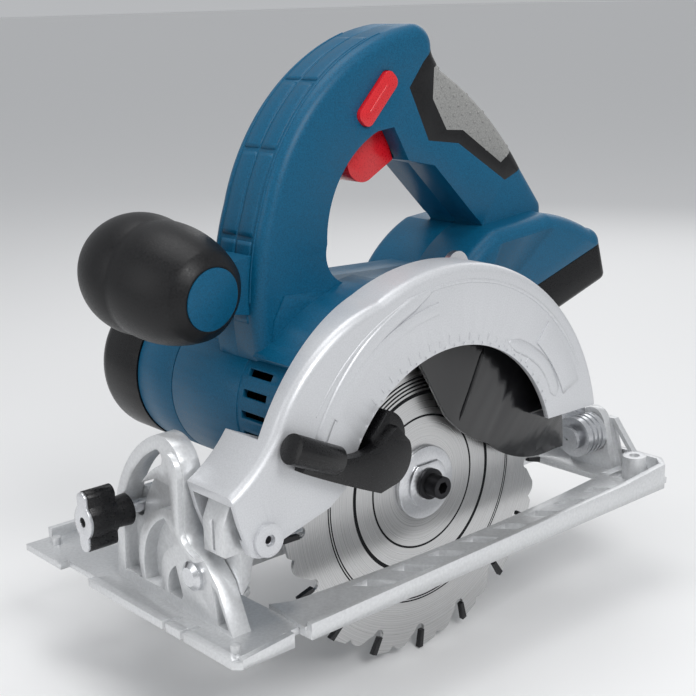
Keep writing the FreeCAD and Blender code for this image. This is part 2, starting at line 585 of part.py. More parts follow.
def handle_solid():
    """Closed D-handle and the body below it, before it is split into two shells."""
    low, high = SEAM_Y - HANDLE_HALF, SEAM_Y + HANDLE_HALF
    outer = slab_y([(64, 78), ((70, 122), (62, 160)), ((34, 206), (-27, 234)), ((-35, 232), (-39, 222)),
                    (-45, 213), ((-80, 187), (-102, 161)), (-117, 142), (-117, 110), (-48, 86), (0, 78)],
                   low, high)
    outer = softened(outer, 7.0, 6.0, low, high)
    loop = slab_y([(-2, 188), ((25, 163), (30, 141)), ((29, 129), (20, 122)), (-70, 118),
                   ((-73, 130), (-66, 141)), (-38, 169), (-21, 173), (-12, 189)], low - 20, high + 20)
    low, high = FOOT_Y - FOOT_HALF, FOOT_Y + FOOT_HALF
    foot = slab_y([(-148, FOOT_Z), ((-146.5, 123.5), (-140, 127)), ((-123, 134.5), (-106, 139)), (-68, 136),
                   ((-53, 128), (-40, 116)), (-40, 60), (-148, 60)], low, high)
    foot = softened(foot, 4.0, 7.0, low, high)
    bridge = slab_y([(-42, 80), (-42, 116), (-20, 118), (56, 122), (62, 112), (66, 90), (40, 80), (0, 78)],
                    FOOT_Y - 22, 14)
    body = joined(outer.cut(loop), foot, bridge.cut(loop), shoulder())
    return body.cut(under_foot(-20, 200, -90, 0.0))


def shoulder():
    """Rounded web that carries the body's blue shell from the motor out to the guard's back."""
    radius = GUARD_BACK_R - 1.0
    block = slab_y(sector(ARBOR, 62, radius, 45, 86), 8, GUARD_BACK - GAP)
    return block.cut(gear_case(GAP, 0, GUARD_BACK))


def under_foot(start, stop, low, high):
    """Block in the battery's tilted frame, from start to stop forwards and low to high."""
    block = box((start, -80, low), (stop, 80, high))
    block.rotate(V(0, 0, 0), V(0, 1, 0), FOOT_TILT)
    block.translate(V(FOOT_X, 0, FOOT_Z))
    return block


def tilted(shape):
    """Move a shape from the battery's frame to the saw's."""
    shape.rotate(V(0, 0, 0), V(0, 1, 0), FOOT_TILT)
    shape.translate(V(FOOT_X, 0, FOOT_Z))
    return shape


def overmold_region():
    """The part of the grip's back that the rubber covers."""
    low, high = SEAM_Y - HANDLE_HALF - 1, SEAM_Y + HANDLE_HALF + 1
    return slab_y([(-31, 217), (-22, 206), (-34, 181), (-54, 178), (-87, 157), (-98, 161), (-130, 175),
                   (-90, 245), (-48, 232)], low, high)


def pad_region():
    """The part of the rubber that the dimpled pad replaces."""
    low, high = SEAM_Y - HANDLE_HALF - 1, SEAM_Y + HANDLE_HALF + 1
    return slab_y([(-38, 214), (-37, 200), (-46, 185), (-57, 184), (-84, 166), (-92, 171), (-130, 185),
                   (-90, 240)], low, high)


def handle_cavity():
    """Room inside the shells for the switch and the wiring."""
    top = slab_y([(-14, 196), (6, 196), (-18, 219), (-29, 219), (-36, 205), (-60, 190), (-86, 158),
                  (-74, 148), (-40, 181)], SEAM_Y - 11, SEAM_Y + 11)
    front = slab_y([(36, 122), (44, 122), ((47, 150), (36, 172)), ((22, 194), (0, 208)), (0, 197),
                    ((24, 182), (36, 150))], SEAM_Y - 12, SEAM_Y + 12)
    return [top, front]


def lock_off_frame(shape):
    """Turn a bar that lies along X at the origin to the lock-off button's slope and place."""
    shape.rotate(V(0, 0, 0), V(0, 1, 0), 45.7)
    shape.translate(V(-1.3, SEAM_Y, 202.5))
    return shape


def lock_off_bar(grow, low, high):
    bar = box((-14.0 - grow, low, -4.7 - grow), (14.0 + grow, high, 4.7 + grow))
    upright = [edge for edge in bar.Edges if edge.BoundBox.YLength > 1]
    bar = bar.makeFillet(3.6 + grow, upright)
    return lock_off_frame(bar)


def trigger_solid(grow):
    low, high = SEAM_Y - 8 - grow, SEAM_Y + 8 + grow
    return slab_y([(1 + grow, 190), (8 + grow, 175), ((4, 166 - grow), (-5, 165 - grow)), (-20 - grow, 173),
                   (-14 - grow, 190), (-21, 198), (-9, 200)], low, high)


def housing_shell(left):
    """One half of the handle housing; the halves meet at the seam plane."""
    body = handle_solid()
    body = body.cut(rod((MOTOR_X, -60, MOTOR_Z), Y_AXIS, DRUM_R + 0.2, 120))
    for room in handle_cavity():
        body = body.cut(room)
    body = body.cut(overmold_region())
    body = body.cut(tilted(box((-12, FOOT_Y - 24, -1), (92, FOOT_Y + 24, 9.4))))
    body = body.cut(trigger_solid(GAP)).cut(trigger_sweep())
    body = body.cut(lock_off_bar(0.3, -40, 40))
    near, far = (SEAM_Y, 100) if left else (-100, SEAM_Y)
    half = body.common(box((-300, near, -50), (200, far, 400)))
    half = half.cut(aux_stem(0.0))
    for x, z in screw_places():
        half = half.cut(rod((x, SEAM_Y - HANDLE_HALF - 30, z), Y_AXIS, SHELL_SCREW_R, 40 + HANDLE_HALF))
        half = half.cut(rod((x, -60, z), Y_AXIS, 3.6, 60 + SEAM_Y - HANDLE_HALF + 4))
    return biggest(half)


def trigger_sweep():
    """Room behind the trigger for its travel into the grip."""
    places = []
    for step in range(1, 7):
        moved = trigger_solid(GAP)
        moved.translate(V(-0.76 * step, 0, 0.67 * step))
        places.append(moved)
    return joined(*places)


def biggest(shape):
    return max(shape.Solids, key=lambda solid: solid.Volume)


def screw_places():
    return [(50, 150), (30, 188), (-26, 226), (-108, 138), (-60, 122), (52, 116)]


def housing_screws():
    """Pan-head screws that clamp the two housing shells, all from the motor side."""
    screws = []
    for x, z in screw_places():
        seat = SEAM_Y - HANDLE_HALF + 4
        shank = rod((x, seat, z), Y_AXIS, SHELL_SCREW_R, 22)
        screws.append(joined(shank, rod((x, seat - 2, z), Y_AXIS, 3.2, 2)))
    return Part.makeCompound(screws)


def grip_overmold():
    """Black rubber over the back of the grip."""
    skin = handle_solid().common(overmold_region())
    skin = skin.cut(handle_cavity()[0]).cut(pad_region())
    return biggest(skin)


def grip_pad():
    """Grey dimpled pad let into the rubber."""
    pad = handle_solid().common(pad_region())
    return biggest(pad.cut(handle_cavity()[0]))


def trigger():
    return biggest(trigger_solid(0))


def lock_off_button():
    """Red bar that is pushed sideways to free the trigger."""
    return lock_off_bar(0, -HANDLE_HALF - 1.0, HANDLE_HALF + 1.8)


def switch_module():
    """Trigger switch with its contacts, in the top of the grip."""
    return slab_y([(-25, 203), (-15, 207), (-20, 216), (-28, 216), (-35, 204), (-40, 196), (-34, 190)],
                  SEAM_Y - 10, SEAM_Y + 10)


def terminal_block():
    """Contact carrier in the foot that the battery plugs onto."""
    return tilted(box((80, FOOT_Y - 15, 1.0), (91, FOOT_Y + 15, 9.0)))


def battery_pack():
    """Slim pack with a guide rail on top that slides into the foot."""
    shell = box((-3, FOOT_Y - FOOT_HALF, -BATTERY_DEPTH), (BATTERY_LENGTH, FOOT_Y + FOOT_HALF, -0.3))
    uprights = [edge for edge in shell.Edges if edge.BoundBox.ZLength > BATTERY_DEPTH - 1]
    shell = shell.makeFillet(7.0, uprights)
    bottom = [edge for edge in shell.Edges if flat_at(edge, "Z", -BATTERY_DEPTH)]
    shell = shell.makeFillet(3.0, bottom)
    tongue = box((-3, FOOT_Y - 23.6, -1), (78, FOOT_Y + 23.6, 9.0))
    for side in (-1, 1):
        near, far = sorted((FOOT_Y + side * 20, FOOT_Y + side * 40))
        tongue = tongue.cut(box((-10, near, -0.3), (100, far, 5)))
    tongue = tongue.cut(box((-4, FOOT_Y - 30, 0.5), (1.5, FOOT_Y + 30, 12)))
    shape = joined(shell, tongue)
    latch_room = box((-6, FOOT_Y - 14.3, -13.3), (5.3, FOOT_Y + 14.3, -5.7))
    return tilted(shape.cut(latch_room))


def battery_latch():
    """Button at the rear of the pack that frees its catch."""
    button = box((-4.0, FOOT_Y - 14, -13), (1.0, FOOT_Y + 14, -6))
    uprights = [edge for edge in button.Edges if edge.BoundBox.ZLength > 6]
    return tilted(button.makeFillet(1.5, uprights[:2]))



def aux_frame(shape):
    """Turn a shape built along -Y from the origin to the front handle's place."""
    shape.rotate(V(0, 0, 0), X_AXIS, -AUX_RISE)
    shape.rotate(V(0, 0, 0), Z_AXIS, AUX_TURN)
    shape.translate(V(AUX_X, AUX_Y, AUX_Z))
    return shape


def aux_profile():
    """Half section of the bulb: radius against length, as a closed outline on the axis."""
    return [(0, 0), (14.6, 0), (19.4, -4), ((24.6, -18), (25.8, -38)),
            ((21.6, -63), (6, 1 - AUX_LENGTH)), (0, 1 - AUX_LENGTH)]


def aux_handle():
    """Black bulb-shaped front handle."""
    face = Part.Face(wire(aux_profile(), lambda r, y: V(r, y, 0)))
    bulb = aux_frame(face.revolve(V(0, 0, 0), Y_AXIS, 360))
    recess = aux_frame(rod((0, -3.0, 0), Y_AXIS, 13.6, 4))
    bore = aux_frame(rod((0, -44, 0), Y_AXIS, AUX_BOLT_R, 50))
    return bulb.cut(recess).cut(bore).cut(aux_stem(0.0))


def aux_cap():
    """Blue disc in the end of the front handle."""
    return aux_frame(rod((0, -2.9, 0), Y_AXIS, 13.5, 3.4))


def aux_stem(grow):
    """Socket block between the front handle and the housing."""
    return slab_y([(56, 112), (56, 142), (80, 139), (80, 117)], SEAM_Y - 12 - grow, SEAM_Y + 12 + grow)


def aux_mount():
    """Blue stem that carries the front handle on the housing."""
    stem = aux_stem(0.0)
    return stem.cut(aux_frame(rod((0, -44, 0), Y_AXIS, AUX_BOLT_R, 50)))


def aux_bolt():
    """Bolt through the front handle into its stem."""
    return aux_frame(rod((0, -40, 0), Y_AXIS, AUX_BOLT_R, 36.9))


# ---- lower guard body ------------------------------------------------------------------------
def lower_guard():
    """Swinging guard: rim, inner cheek with hub ring, and an outer cheek with two lobes."""
    lead, trail = 182.0, 20.0
    rim = slab_y(sector(ARBOR, LOWER_R - LOWER_WALL, LOWER_R, trail, lead), LOWER_IN, LOWER_OUT)
    inner = slab_y(sector(ARBOR, NOSE_R + 6, LOWER_R, trail + 4, lead), LOWER_IN, LOWER_IN + 2)
    hub = ring((ARBOR_X, LOWER_IN, ARBOR_Z), Y_AXIS, NOSE_R + 7, NOSE_R + 0.08, 2)
    band = slab_y(sector(ARBOR, LOWER_R - 16, LOWER_R, trail, lead), LOWER_OUT - 2, LOWER_OUT)
    lobe = slab_y([polar(ARBOR, LOWER_R - 1, 74), (-2, 63), ((-14, 52), (-30, 43)), ((-60, 29), (-80, 29)),
                   polar(ARBOR, LOWER_R - 1, lead - 1),
                   (polar(ARBOR, LOWER_R - 1, 128), polar(ARBOR, LOWER_R - 1, 74))], LOWER_OUT - 2, LOWER_OUT)
    edge = LOWER_R - 1
    front = slab_y([polar(ARBOR, edge, 48), (50, 82), ((40, 76), (37, 64)), ((38, 54), (47, 47)),
                    polar(ARBOR, edge, trail), (polar(ARBOR, edge, 34), polar(ARBOR, edge, 48))],
                   LOWER_OUT - 2, LOWER_OUT)
    return joined(rim, inner, hub, band, lobe, front)


def guard_lever():
    """Thumb lever on the lower guard's front lobe, reaching out over the upper guard."""
    pad = slab_y([(47, 80), ((39.5, 74), (38.5, 64)), ((40, 55), (48, 48.5)), (60, 50), (56, 70)],
                 LOWER_OUT, GUARD_FACE + 3)
    arm = slab_y([(46, 74), ((68, 66), (92, 79)), (97, 66.5), ((78, 57), (56, 47)), (46, 49),
                  ((39, 56), (39, 66))], GUARD_FACE + 1.2, GUARD_FACE + 7)
    inner, outer = polar(ARBOR, 84, 25.5), polar(ARBOR, 109, 25.5)
    direction = V(outer[0] - inner[0], 0, outer[1] - inner[1])
    tip = rod((inner[0], GUARD_FACE + 7.5, inner[1]), direction, 6.2, 25)
    return joined(pad, arm, tip)


def guard_spring():
    """Return spring of the lower guard: a flat coil round the nose, behind the inner cheek."""
    return ring((ARBOR_X, LOWER_IN + 2.3, ARBOR_Z), Y_AXIS, NOSE_R + 4, NOSE_R + 1, 1.6)


# ---- spindle body ----------------------------------------------------------------------------
def gear(centre, teeth, low, high, phase):
    """Straight-toothed gear with trapezoid teeth; phase turns it by that many tooth pitches."""
    root = MODULE * (teeth / 2 - 1.25)
    tip = MODULE * (teeth / 2 + 0.8)
    pitch = 360.0 / teeth
    steps = []
    for tooth in range(teeth):
        middle = (tooth + phase) * pitch
        steps.append(polar(centre, root, middle - 0.30 * pitch))
        steps.append(polar(centre, tip, middle - 0.11 * pitch))
        steps.append(polar(centre, tip, middle + 0.11 * pitch))
        steps.append(polar(centre, root, middle + 0.30 * pitch))
    return slab_y(steps, low, high)


def mesh_phase(driver, driven, driver_teeth, driver_phase, driven_teeth):
    """Phase of the driven gear so that a gap faces the driver's tooth on the centre line."""
    line = math.degrees(math.atan2(driven[1] - driver[1], driven[0] - driver[0]))
    driver_pitch, driven_pitch = 360.0 / driver_teeth, 360.0 / driven_teeth
    offset = (line / driver_pitch - driver_phase) % 1.0
    back_line = (line + 180.0) / driven_pitch
    return (back_line + offset + 0.5) % 1.0


LAY_PHASE_1 = mesh_phase(MOTOR, LAY, PINION_T, 0.0, WHEEL_T)
SPINDLE_PHASE = mesh_phase(LAY, ARBOR, LAY_PINION_T, 0.0, SPINDLE_WHEEL_T)


def spindle():
    """Arbor shaft with its spur wheel."""
    shaft = rod((ARBOR_X, 17.5, ARBOR_Z), Y_AXIS, SPINDLE_R, 26.5)
    hub = rod((ARBOR_X, 44.0, ARBOR_Z), Y_AXIS, BLADE_HUB_R, 3.0)
    wheel = gear(ARBOR, SPINDLE_WHEEL_T, STAGE_2[0], STAGE_2[1], SPINDLE_PHASE)
    return joined(shaft, hub, wheel).cut(rod((ARBOR_X, 30, ARBOR_Z), Y_AXIS, BLADE_BOLT_R, 20))


def spindle_bearings():
    """Outer and inner bearings of the spindle, fixed in the gear case."""
    outer = ring((ARBOR_X, 34.0, ARBOR_Z), Y_AXIS, 12.9, SPINDLE_R + 0.05, 5.0)
    inner = ring((ARBOR_X, 17.5, ARBOR_Z), Y_AXIS, 7.5, SPINDLE_R + 0.05, 5.0)
    return Part.makeCompound([outer, inner])


def inner_flange():
    flange = ring((ARBOR_X, 41.6, ARBOR_Z), Y_AXIS, FLANGE_R, SPINDLE_R, 2.4)
    return flange.cut(ring((ARBOR_X, 43.5, ARBOR_Z), Y_AXIS, 12, 6, 1.0))


def outer_flange():
    """Dished outer flange with a flat-sided boss."""
    low = BLADE_Y + BLADE_BODY / 2
    disc = rod((ARBOR_X, low, ARBOR_Z), Y_AXIS, FLANGE_R, 2.2)
    boss = rod((ARBOR_X, low + 2.2, ARBOR_Z), Y_AXIS, 11.5, 1.6)
    boss = boss.common(box((ARBOR_X - 20, 0, ARBOR_Z - 9.5), (ARBOR_X + 20, 90, ARBOR_Z + 9.5)))
    flange = joined(disc, boss).cut(rod((ARBOR_X, 40, ARBOR_Z), Y_AXIS, BLADE_HUB_R, 7.0))
    return flange.cut(rod((ARBOR_X, 40, ARBOR_Z), Y_AXIS, BLADE_BOLT_R, 20))


def blade_bolt():
    """Socket-head bolt that holds the blade."""
    low = BLADE_Y + BLADE_BODY / 2 + 3.8
    head = rod((ARBOR_X, low, ARBOR_Z), Y_AXIS, 7.2, 2.0)
    cap = rod((ARBOR_X, low + 2.0, ARBOR_Z), Y_AXIS, 5.2, 7.0)
    socket = slab_y([polar(ARBOR, 2.9, 60 * corner) for corner in range(6)], low + 4.0, low + 12)
    shank = rod((ARBOR_X, low - 17, ARBOR_Z), Y_AXIS, BLADE_BOLT_R, 17)
    return joined(head, cap, shank).cut(socket)


def blade():
    """Saw blade body with gullets between the teeth and a 20 mm class bore."""
    pitch = 360.0 / TEETH
    steps = []
    for index in range(TEETH, 0, -1):
        face = -90.0 + index * pitch
        deep = polar(ARBOR, BLADE_R - 12.0, face + 2.6)
        if steps:
            steps.append((deep, polar(ARBOR, BLADE_R - 10.0, face + 0.4)))
        else:
            steps.append(polar(ARBOR, BLADE_R - 10.0, face + 0.4))
        steps.append(polar(ARBOR, BLADE_R - 0.6, face + 1.0))
        steps.append(polar(ARBOR, BLADE_R - 1.6, face - 4.4))
        steps.append(polar(ARBOR, BLADE_R - 4.2, face - 6.0))
        steps.append((polar(ARBOR, BLADE_R - 2.6, face - 8.6), polar(ARBOR, BLADE_R - 3.4, face - 11.6)))
        steps.append(polar(ARBOR, BLADE_R - 9.5, face - pitch + 4.6))
    last = -90.0
    steps.append((polar(ARBOR, BLADE_R - 12.0, last + 2.6), steps[0]))
    half = BLADE_BODY / 2
    return slab_y(steps, BLADE_Y - half, BLADE_Y + half).cut(rod((ARBOR_X, 30, ARBOR_Z), Y_AXIS, 5.02, 30))


def carbide_tips():
    """Carbide tips brazed to the teeth, wider than the body by the set of the kerf."""
    tips = []
    pitch = 360.0 / TEETH
    for index in range(TEETH):
        face = -90.0 + (index + 1) * pitch
        steps = [polar(ARBOR, BLADE_R - 8.5, face + 0.45), polar(ARBOR, BLADE_R, face + 1.1),
                 polar(ARBOR, BLADE_R, face + 2.9), polar(ARBOR, BLADE_R - 8.5, face + 2.0)]
        tips.append(slab_y(steps, BLADE_Y - KERF / 2, BLADE_Y + KERF / 2))
    return Part.makeCompound(tips)


def lay_gear():
    """Lay shaft with the first wheel and the second pinion."""
    shaft = rod((LAY[0], 16.3, LAY[1]), Y_AXIS, 3.0, 18.5)
    wheel = gear(LAY, WHEEL_T, STAGE_1[0], STAGE_1[1], LAY_PHASE_1)
    pinion = gear(LAY, LAY_PINION_T, STAGE_1[1], STAGE_2[1], 0.0)
    return joined(shaft, wheel, pinion)


# ---- motor -----------------------------------------------------------------------------------
def stator():
    """Motor can with its magnets, a thick tube held in the barrel."""
    return ring((MOTOR_X, -38, MOTOR_Z), Y_AXIS, 25.0, 20.0, 36)


def armature():
    """Shaft, lamination stack with slots, and commutator."""
    shaft = rod((MOTOR_X, -86, MOTOR_Z), Y_AXIS, 3.0, 109.6)
    core = rod((MOTOR_X, -36, MOTOR_Z), Y_AXIS, 18.5, 32)
    for degrees in range(0, 360, 30):
        x, z = polar(MOTOR, 18.5, degrees)
        core = core.cut(rod((x, -37, z), Y_AXIS, 1.8, 34))
    commutator = rod((MOTOR_X, -60, MOTOR_Z), Y_AXIS, 11.0, 14)
    pinion = gear(MOTOR, PINION_T, STAGE_1[0], STAGE_1[1], 0.0)
    return joined(shaft, core, commutator, pinion)


def cooling_fan():
    """Radial fan pressed on the armature shaft."""
    disc = ring((MOTOR_X, 3.5, MOTOR_Z), Y_AXIS, 27.0, 3.0, 1.6)
    hub = ring((MOTOR_X, 3.5, MOTOR_Z), Y_AXIS, 7.0, 3.0, 8.0)
    blades = []
    for degrees in range(0, 360, 30):
        vane = box((9, 5.0, -0.6), (27, 11.5, 0.6))
        vane.rotate(V(0, 0, 0), V(0, -1, 0), degrees)
        vane.translate(V(MOTOR_X, 0, MOTOR_Z))
        blades.append(vane)
    return joined(disc, hub, *blades)


def motor_bearings():
    front = ring((MOTOR_X, 13.0, MOTOR_Z), Y_AXIS, 9.0, 3.05, 1.9)
    rear = ring((MOTOR_X, -86.0, MOTOR_Z), Y_AXIS, 7.95, 3.05, 5.0)
    return Part.makeCompound([front, rear])


def brush_holders():
    """Two carbon brush boxes beside the commutator."""
    holders = []
    for side in (-1, 1):
        low, high = sorted((MOTOR_Z + side * 11.2, MOTOR_Z + side * 33.0))
        holders.append(box((MOTOR_X - 4, -57, low), (MOTOR_X + 4, -49, high)))
    return Part.makeCompound(holders)


def clamp_bolt():
    """Stud in the guard's back wall for the depth clamp."""
    x, z = clamp_centre()
    return rod((x, 20.0, z), Y_AXIS, BOLT_R, 18.4)


def depth_lever():
    """Black lever nut that clamps the depth guide."""
    x, z = clamp_centre()
    hub = rod((x, 21.5, z), Y_AXIS, 9.0, GUIDE_IN - GAP - 21.5)
    arm = slab_y([(x - 7, z - 5), (x - 44, z + 1), ((x - 48, z + 6), (x - 43, z + 10)), (x - 3, z + 8)],
                 21.5, 27.5)
    return joined(hub, arm).cut(rod((x, 0, z), Y_AXIS, BOLT_R + RUNNING, 60))


PARTS = {
    "base_plate": base_plate,
    "bevel_pins": bevel_pins,
    "tilt_bracket": tilt_bracket,
    "bevel_bolt": bevel_bolt,
    "depth_pin": depth_pin,
    "rear_bracket": rear_bracket,
    "depth_guide": depth_guide,
    "wing_knob": wing_knob,
    "knob_disc": knob_disc,
    "upper_guard": upper_guard,
    "guard_screws": guard_screws,
    "gear_housing": gear_housing,
    "spindle_lock_button": spindle_lock_button,
    "motor_housing": motor_housing,
    "fan_grille": fan_grille,
    "motor_collar": motor_collar,
    "motor_cap": motor_cap,
    "housing_left": lambda: housing_shell(True),
    "housing_right": lambda: housing_shell(False),
    "housing_screws": housing_screws,
    "grip_overmold": grip_overmold,
    "grip_pad": grip_pad,
    "trigger": trigger,
    "lock_off_button": lock_off_button,
    "switch_module": switch_module,
    "terminal_block": terminal_block,
    "battery_pack": battery_pack,
    "battery_latch": battery_latch,
    "aux_handle": aux_handle,
    "aux_cap": aux_cap,
    "aux_mount": aux_mount,
    "aux_bolt": aux_bolt,
    "lower_guard": lower_guard,
    "guard_lever": guard_lever,
    "guard_spring": guard_spring,
    "spindle": spindle,
    "spindle_bearings": spindle_bearings,
    "inner_flange": inner_flange,
    "outer_flange": outer_flange,
    "blade_bolt": blade_bolt,
    "blade": blade,
    "carbide_tips": carbide_tips,
    "lay_gear": lay_gear,
    "stator": stator,
    "armature": armature,
    "cooling_fan": cooling_fan,
    "motor_bearings": motor_bearings,
    "brush_holders": brush_holders,
    "clamp_bolt": clamp_bolt,
    "depth_lever": depth_lever,
}

os.makedirs("parts", exist_ok=True)
for node, make in PARTS.items():
    shape = make()
    print(f"{node:22s} solids {len(shape.Solids)}  volume {shape.Volume:10.0f}  valid {shape.isValid()}")
    shape.exportStep(os.path.join("parts", node + ".step"))
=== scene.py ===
"""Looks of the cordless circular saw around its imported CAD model.  Lengths are in metres."""

import json
import math

import bmesh
import bpy
from mathutils import Matrix, Vector


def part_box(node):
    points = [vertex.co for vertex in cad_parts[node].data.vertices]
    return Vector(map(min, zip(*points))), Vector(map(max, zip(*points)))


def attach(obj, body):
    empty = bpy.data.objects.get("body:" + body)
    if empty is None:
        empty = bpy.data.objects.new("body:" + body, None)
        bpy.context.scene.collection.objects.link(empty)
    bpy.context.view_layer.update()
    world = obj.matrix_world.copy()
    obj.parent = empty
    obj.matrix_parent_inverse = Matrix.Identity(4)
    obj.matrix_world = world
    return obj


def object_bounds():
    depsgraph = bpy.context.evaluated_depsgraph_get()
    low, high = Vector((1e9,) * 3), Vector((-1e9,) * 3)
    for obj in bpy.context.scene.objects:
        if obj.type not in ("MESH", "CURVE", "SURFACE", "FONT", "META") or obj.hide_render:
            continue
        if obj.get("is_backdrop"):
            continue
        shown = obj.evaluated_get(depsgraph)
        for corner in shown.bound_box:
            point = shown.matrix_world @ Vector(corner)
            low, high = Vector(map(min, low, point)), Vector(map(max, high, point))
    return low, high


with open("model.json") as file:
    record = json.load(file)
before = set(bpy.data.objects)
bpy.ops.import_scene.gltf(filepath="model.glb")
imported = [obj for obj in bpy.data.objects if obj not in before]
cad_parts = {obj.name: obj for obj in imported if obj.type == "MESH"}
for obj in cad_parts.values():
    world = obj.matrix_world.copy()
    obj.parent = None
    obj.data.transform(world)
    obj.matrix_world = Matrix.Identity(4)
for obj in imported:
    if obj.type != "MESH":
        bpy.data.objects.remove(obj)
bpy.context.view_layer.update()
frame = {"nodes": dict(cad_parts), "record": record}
NODES = frame["nodes"]
MM = 0.001
Y_AXIS = Vector((0, 1, 0))

ARBOR = (4.75, 31.5)              # blade centre, (x, z) in millimetres
GUARD_FACE = 66.0                 # the upper guard's outer face, y in millimetres
LOBE_FACE = 54.5                  # the lower guard's outer face
SEAM_Y = -5.0                     # middle plane of the handle
HANDLE_HALF = 18.0
LOCK_OFF_SLOPE = 45.7             # degrees that the lock-off bar leans
BUMP_DEPTH = 0.0002               # metres, for every surface's fine relief
EDGE_ANGLE = 35.0                 # edges sharper than this are broken


# ---- materials -------------------------------------------------------------------------------
class Surface:
    """A Principled material with helpers for procedural colour, roughness and relief."""

    def __init__(self, name, color, roughness, metallic=0.0):
        self.slot = name
        self.material = bpy.data.materials.new(name + "_look")
        self.material.use_nodes = True
        self.nodes = self.material.node_tree.nodes
        self.links = self.material.node_tree.links
        self.shader = self.nodes["Principled BSDF"]
        self.shader.inputs["Base Color"].default_value = (*color, 1)
        self.shader.inputs["Roughness"].default_value = roughness
        self.shader.inputs["Metallic"].default_value = metallic
        self.coords = self.nodes.new("ShaderNodeTexCoord").outputs["Object"]

    def noise(self, scale, detail=4.0):
        node = self.nodes.new("ShaderNodeTexNoise")
        node.inputs["Scale"].default_value = scale
        node.inputs["Detail"].default_value = detail
        self.links.new(self.coords, node.inputs["Vector"])
        return node.outputs["Fac"]

    def ramp(self, value, low, high, color_low, color_high):
        node = self.nodes.new("ShaderNodeValToRGB")
        node.color_ramp.elements[0].position = low
        node.color_ramp.elements[0].color = (*color_low, 1)
        node.color_ramp.elements[1].position = high
        node.color_ramp.elements[1].color = (*color_high, 1)
        self.links.new(value, node.inputs["Fac"])
        return node.outputs["Color"]

    def grey_ramp(self, value, low, high, dark, light):
        return self.ramp(value, low, high, (dark,) * 3, (light,) * 3)

    def color(self, output):
        self.links.new(output, self.shader.inputs["Base Color"])
        return self

    def roughness(self, output):
        self.links.new(output, self.shader.inputs["Roughness"])
        return self

    def relief(self, value, strength):
        bump = self.nodes.new("ShaderNodeBump")
        bump.inputs["Strength"].default_value = strength
        bump.inputs["Distance"].default_value = BUMP_DEPTH
        self.links.new(value, bump.inputs["Height"])
        self.links.new(bump.outputs["Normal"], self.shader.inputs["Normal"])
        return self

    def coat(self, weight, roughness):
        self.shader.inputs["Coat Weight"].default_value = weight
        self.shader.inputs["Coat Roughness"].default_value = roughness
        return self

    def gloss(self, level):
        """Weaken or strengthen the surface's mirror-like part; 0.5 is ordinary plastic."""
        self.shader.inputs["Specular IOR Level"].default_value = level
        return self

    def math(self, operation, first, second=None):
        node = self.nodes.new("ShaderNodeMath")
        node.operation = operation
        for socket, value in zip(node.inputs, (first, second)):
            if value is None:
                continue
            if isinstance(value, (int, float)):
                socket.default_value = value
            else:
                self.links.new(value, socket)
        return node.outputs[0]

    def mix(self, factor, first, second):
        node = self.nodes.new("ShaderNodeMix")
        node.data_type = "RGBA"
        self.links.new(factor, node.inputs[0])
        for socket, value in ((node.inputs[6], first), (node.inputs[7], second)):
            if isinstance(value, tuple):
                socket.default_value = (*value, 1)
            else:
                self.links.new(value, socket)
        return node.outputs[2]


def plastic(name, dark, light, roughness, grain=1600.0, relief=0.25):
    """Moulded plastic with a spark-eroded grain and slight colour variation."""
    surface = Surface(name, light, roughness)
    fine = surface.noise(grain, 2.0)
    broad = surface.noise(22.0, 3.0)
    speckle = surface.ramp(fine, 0.35, 0.68, dark, light)
    shade = surface.ramp(broad, 0.3, 0.7, tuple(0.94 * c for c in light), light)
    surface.color(surface.mix(surface.math("MULTIPLY", fine, 0.5), speckle, shade))
    surface.roughness(surface.grey_ramp(fine, 0.3, 0.7, roughness - 0.06, roughness + 0.08))
    return surface.relief(fine, relief)


def metal(name, color, roughness, grain, relief, metallic):
    """Bare or painted metal with a fine grain and patches of slightly different polish."""
    surface = Surface(name, color, roughness, metallic)
    fine = surface.noise(grain, 3.0)
    broad = surface.noise(30.0, 4.0)
    surface.color(surface.ramp(fine, 0.3, 0.7, tuple(0.88 * c for c in color), color))
    surface.roughness(surface.grey_ramp(broad, 0.3, 0.7, roughness - 0.04, roughness + 0.08))
    return surface.relief(fine, relief)


def printed_rings(surface, radius, rings):
    """Mask that is 1 on each ring, given as (middle, half width) in millimetres."""
    mask = None
    for middle, half in rings:
        away = surface.math("ABSOLUTE", surface.math("SUBTRACT", radius, middle * MM))
        line = surface.math("LESS_THAN", away, half * MM)
        mask = line if mask is None else surface.math("MAXIMUM", mask, line)
    return mask


